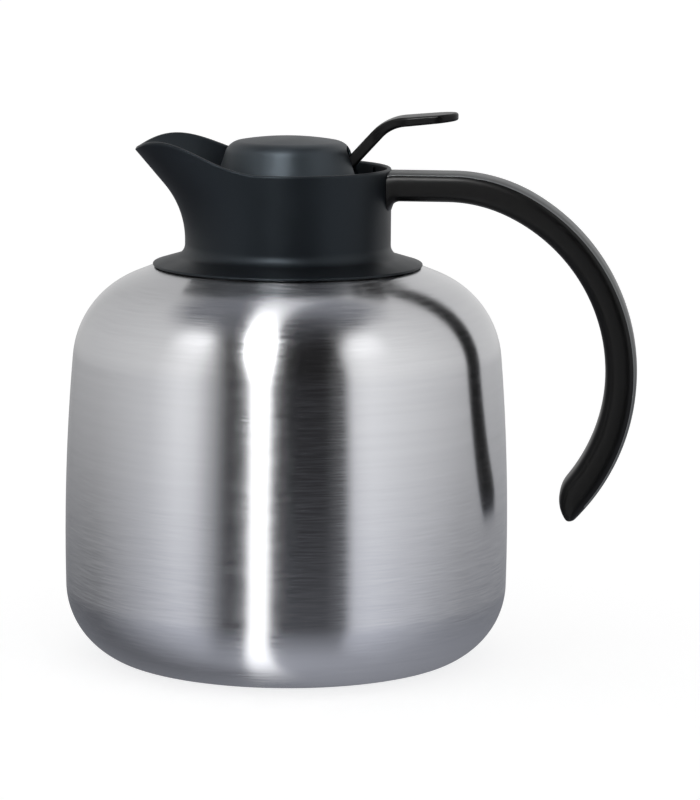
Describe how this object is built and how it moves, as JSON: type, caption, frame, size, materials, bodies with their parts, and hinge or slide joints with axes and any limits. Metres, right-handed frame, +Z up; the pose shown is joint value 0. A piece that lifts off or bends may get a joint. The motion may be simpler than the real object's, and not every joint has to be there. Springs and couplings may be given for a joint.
{
  "type": "insulated jug",
  "caption": "Insulated steel jug with a rounded body, plastic collar with a pouring beak, open C-shaped handle and a screw-in stopper with a thumb lever that opens a sprung valve.",
  "frame": {"origin": "on the table, under the middle of the overall length and width; the axis of the body is at x = -22.85 mm", "axes": "+Z up, handle towards +X, spout towards -X"},
  "size_m": [0.2056, 0.16, 0.1969],
  "materials": {
    "brushed_steel": "brushed around",
    "plain_steel": "satin",
    "solder": "matt",
    "dark_plastic": "fine matt",
    "black_plastic": "satin",
    "grey_plastic": "matt",
    "valve_plastic": "matt",
    "silicone": "matt"
  },
  "bodies": {
    "jug": {"outer_shell": "brushed_steel", "inner_vessel": "plain_steel", "base_plate": "plain_steel", "vacuum_seal": "solder", "getter": "plain_steel", "neck_gasket": "silicone", "collar": "dark_plastic", "handle_body": "black_plastic", "handle_cover": "grey_plastic", "handle_screws": "plain_steel"},
    "seal": {"stopper_seal": "silicone"},
    "stopper": {"stopper_body": "valve_plastic", "stem_guide": "valve_plastic", "lever_pin": "plain_steel", "stopper_dome": "dark_plastic", "valve_spring": "plain_steel"},
    "lever": {"lever": "dark_plastic"},
    "valve": {"valve_plug": "valve_plastic", "valve_seal": "silicone", "valve_stem": "plain_steel", "stem_pin": "plain_steel"}
  },
  "joints": [
    {"name": "stopper_rise", "type": "slide", "parent": "jug", "child": "seal", "axis": [0, 0, 1], "range_m": [0, 0.054]},
    {"name": "stopper_turn", "type": "hinge", "parent": "seal", "child": "stopper", "pos_m": [-0.02285, 0, 0.16129], "axis": [0, 0, 1], "range_deg": [0, 810]},
    {"name": "lever_press", "type": "hinge", "parent": "stopper", "child": "lever", "pos_m": [-0.00635, 0, 0.17644], "axis": [0, 1, 0], "range_deg": [0, 15], "stiffness_Nm_per_rad": 0.2, "springref_deg": -5.73},
    {"name": "valve_lift", "type": "slide", "parent": "stopper", "child": "valve", "axis": [0, 0, 1], "range_m": [0, 0.00442], "deforming": ["valve_spring"]}
  ],
  "couplings": [
    {"joint": "stopper_turn", "follows": "stopper_rise", "rad_per_m": 261.8},
    {"joint": "lever_press", "follows": "valve_lift", "rad_per_m": 59.214}
  ]
}
